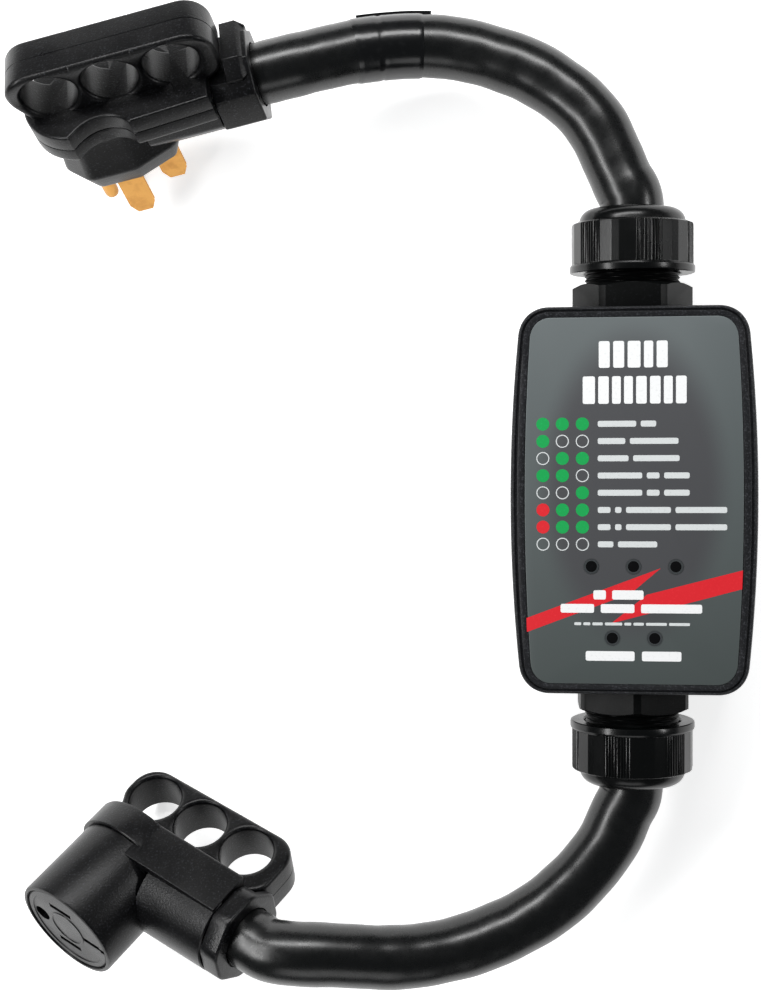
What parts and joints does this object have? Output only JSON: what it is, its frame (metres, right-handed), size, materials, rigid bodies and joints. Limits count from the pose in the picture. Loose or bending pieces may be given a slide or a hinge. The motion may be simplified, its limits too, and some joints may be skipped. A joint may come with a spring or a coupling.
{
  "type": "surge protector with cords",
  "caption": "In-line portable surge protector: a box with cable glands at both ends, short heavy cords, a right-angle plug with a finger grip and a matching connector.",
  "frame": {"origin": "under the middle of the box, on the surface that the box's back lies on", "axes": "+Z from the box's back to its printed front, +Y along the box towards the cord with the plug, +X across the box"},
  "size_m": [0.3478, 0.4612, 0.0993],
  "materials": {
    "shell_plastic": "textured ABS or polycarbonate, dark grey",
    "overlay_sheet": "printed polycarbonate overlay, satin",
    "rubber": "nitrile rubber",
    "steel": "zinc-plated steel",
    "lens": "smoked acrylic",
    "circuit_board": "green solder mask",
    "component_case": "moulded component case",
    "varistor": "blue epoxy dip",
    "copper": "bare stranded copper, insulated",
    "gland_nylon": "black nylon, semi-gloss",
    "cord_jacket": "black flexible PVC, glossy",
    "moulded_plug": "black moulded PVC, fine speckle",
    "brass": "bright brass"
  },
  "bodies": {
    "housing": {"back_shell": "shell_plastic", "front_cover": "shell_plastic", "overlay_sheet": "overlay_sheet", "cover_gasket": "rubber", "upper_gland_washer": "rubber", "lower_gland_washer": "rubber", "upper_gland_seal": "rubber", "lower_gland_seal": "rubber", "cover_screw_1": "steel", "cover_screw_2": "steel", "cover_screw_3": "steel", "cover_screw_4": "steel", "radio_module": "steel", "indicator_lens_1": "lens", "indicator_lens_2": "lens", "indicator_lens_3": "lens", "indicator_lens_4": "lens", "indicator_lens_5": "lens", "display_board": "circuit_board", "circuit_board": "circuit_board", "relay_1": "component_case", "relay_2": "component_case", "power_supply": "component_case", "current_sensor": "component_case", "input_terminals": "component_case", "output_terminals": "component_case", "varistor_1": "varistor", "varistor_2": "varistor", "line_in_1": "copper", "line_in_2": "copper", "line_out_1": "copper", "line_out_2": "copper", "neutral_conductor": "copper", "ground_conductor": "copper", "upper_gland_body": "gland_nylon", "upper_gland_locknut": "gland_nylon", "lower_gland_body": "gland_nylon", "lower_gland_locknut": "gland_nylon", "upper_cord": "cord_jacket", "lower_cord": "cord_jacket", "cord_band": "cord_jacket", "plug_handle": "moulded_plug", "plug_base": "moulded_plug", "plug_collar": "moulded_plug", "connector_handle": "moulded_plug", "connector_body": "moulded_plug", "socket_face": "moulded_plug", "connector_collar": "moulded_plug", "line_blade_1": "brass", "line_blade_2": "brass", "neutral_blade": "brass", "ground_pin": "brass", "line_contact_1": "brass", "line_contact_2": "brass", "neutral_contact": "brass", "ground_contact": "brass"},
    "upper_clamp": {"upper_gland_claw": "gland_nylon"},
    "upper_nut": {"upper_dome_nut": "gland_nylon"},
    "lower_clamp": {"lower_gland_claw": "gland_nylon"},
    "lower_nut": {"lower_dome_nut": "gland_nylon"}
  },
  "joints": [
    {"name": "upper_clamp_travel", "type": "slide", "parent": "housing", "child": "upper_clamp", "axis": [0, 1, 0], "range_m": [0, 0.0031]},
    {"name": "upper_nut_turn", "type": "hinge", "parent": "upper_clamp", "child": "upper_nut", "pos_m": [0, 0.1, 0.044], "axis": [0, 1, 0], "range_deg": [0, 720]},
    {"name": "lower_clamp_travel", "type": "slide", "parent": "housing", "child": "lower_clamp", "axis": [0, -1, 0], "range_m": [0, 0.0031]},
    {"name": "lower_nut_turn", "type": "hinge", "parent": "lower_clamp", "child": "lower_nut", "pos_m": [0, -0.1, 0.044], "axis": [0, -1, 0], "range_deg": [0, 720]}
  ],
  "couplings": [
    {"joint": "upper_clamp_travel", "follows": "upper_nut_turn", "m_per_rad": 0.00023873},
    {"joint": "lower_clamp_travel", "follows": "lower_nut_turn", "m_per_rad": 0.00023873}
  ]
}
